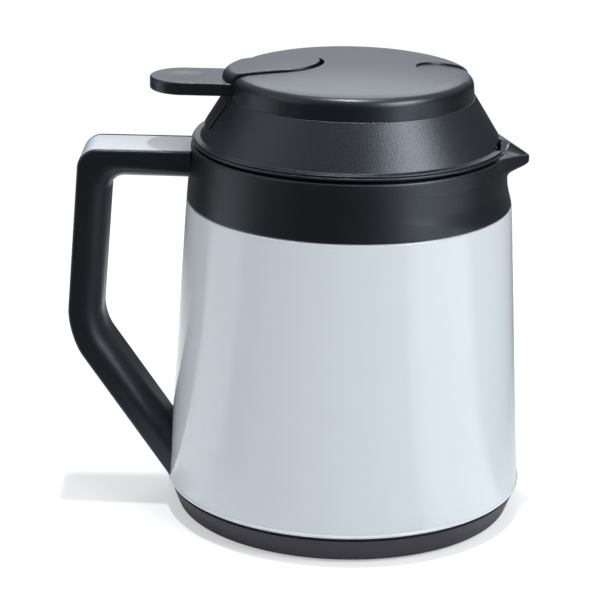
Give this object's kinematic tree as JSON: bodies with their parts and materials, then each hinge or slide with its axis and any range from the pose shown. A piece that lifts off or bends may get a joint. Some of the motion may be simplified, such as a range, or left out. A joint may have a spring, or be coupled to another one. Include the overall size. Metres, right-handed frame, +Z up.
{
  "type": "thermal carafe with flip lid",
  "caption": "White double-walled thermal carafe with a black base, collar, spout, side handle with a white inlay, and a lid whose thumb lever lifts the pouring valve.",
  "frame": {"origin": "centre of the foot ring, on the surface the carafe stands on", "axes": "+Z up along the axis of the body, +X towards the spout, -X towards the handle; Y is across the handle, the shortest extent"},
  "size_m": [0.1863, 0.146, 0.1872],
  "materials": {
    "shell_coat": "white gloss coat on steel",
    "bare_steel": "satin",
    "base_plastic": "matte black",
    "body_plastic": "satin black, fine grain",
    "lid_plastic": "satin black, fine grain",
    "inner_plastic": "matte grey",
    "strip_plastic": "white gloss",
    "foot_rubber": "matte",
    "seal_silicone": "translucent grey silicone"
  },
  "bodies": {
    "vessel": {"outer_shell": "shell_coat", "inner_liner": "bare_steel", "vessel_bottom": "bare_steel", "vacuum_seal": "bare_steel", "base_studs": "bare_steel", "base_cover": "base_plastic", "base_screws": "bare_steel", "foot_ring": "foot_rubber", "collar": "body_plastic", "retaining_ring": "bare_steel", "neck_gasket": "seal_silicone", "handle_core": "body_plastic", "handle_strip": "strip_plastic", "handle_upper_screws": "bare_steel", "handle_bracket": "bare_steel", "handle_lower_screw": "bare_steel"},
    "lid": {"lid_base": "lid_plastic", "lid_gasket": "seal_silicone", "stem_guide": "inner_plastic", "guide_screws": "bare_steel", "lid_cone": "lid_plastic", "lid_cover": "lid_plastic", "hinge_pin": "bare_steel"},
    "lever": {"thumb_lever": "lid_plastic", "link_pin": "bare_steel"},
    "valve": {"valve_stem": "inner_plastic", "valve_disc": "inner_plastic", "valve_seal": "seal_silicone", "stem_clip": "bare_steel", "valve_spring": "bare_steel"}
  },
  "joints": [
    {"name": "lid_lift", "type": "slide", "parent": "vessel", "child": "lid", "axis": [0, 0, 1], "range_m": [0, 0.06]},
    {"name": "lever_press", "type": "hinge", "parent": "lid", "child": "lever", "pos_m": [-0.042, 0, 0.1757], "axis": [0, -1, 0], "range_deg": [0, 9]},
    {"name": "valve_lift", "type": "slide", "parent": "lid", "child": "valve", "axis": [0, 0, 1], "range_m": [0, 0.0065], "stiffness_N_per_m": 230, "springref_m": -0.0022, "deforming": ["valve_spring"]}
  ],
  "couplings": [
    {"joint": "lever_press", "follows": "valve_lift", "rad_per_m": 23.8}
  ]
}
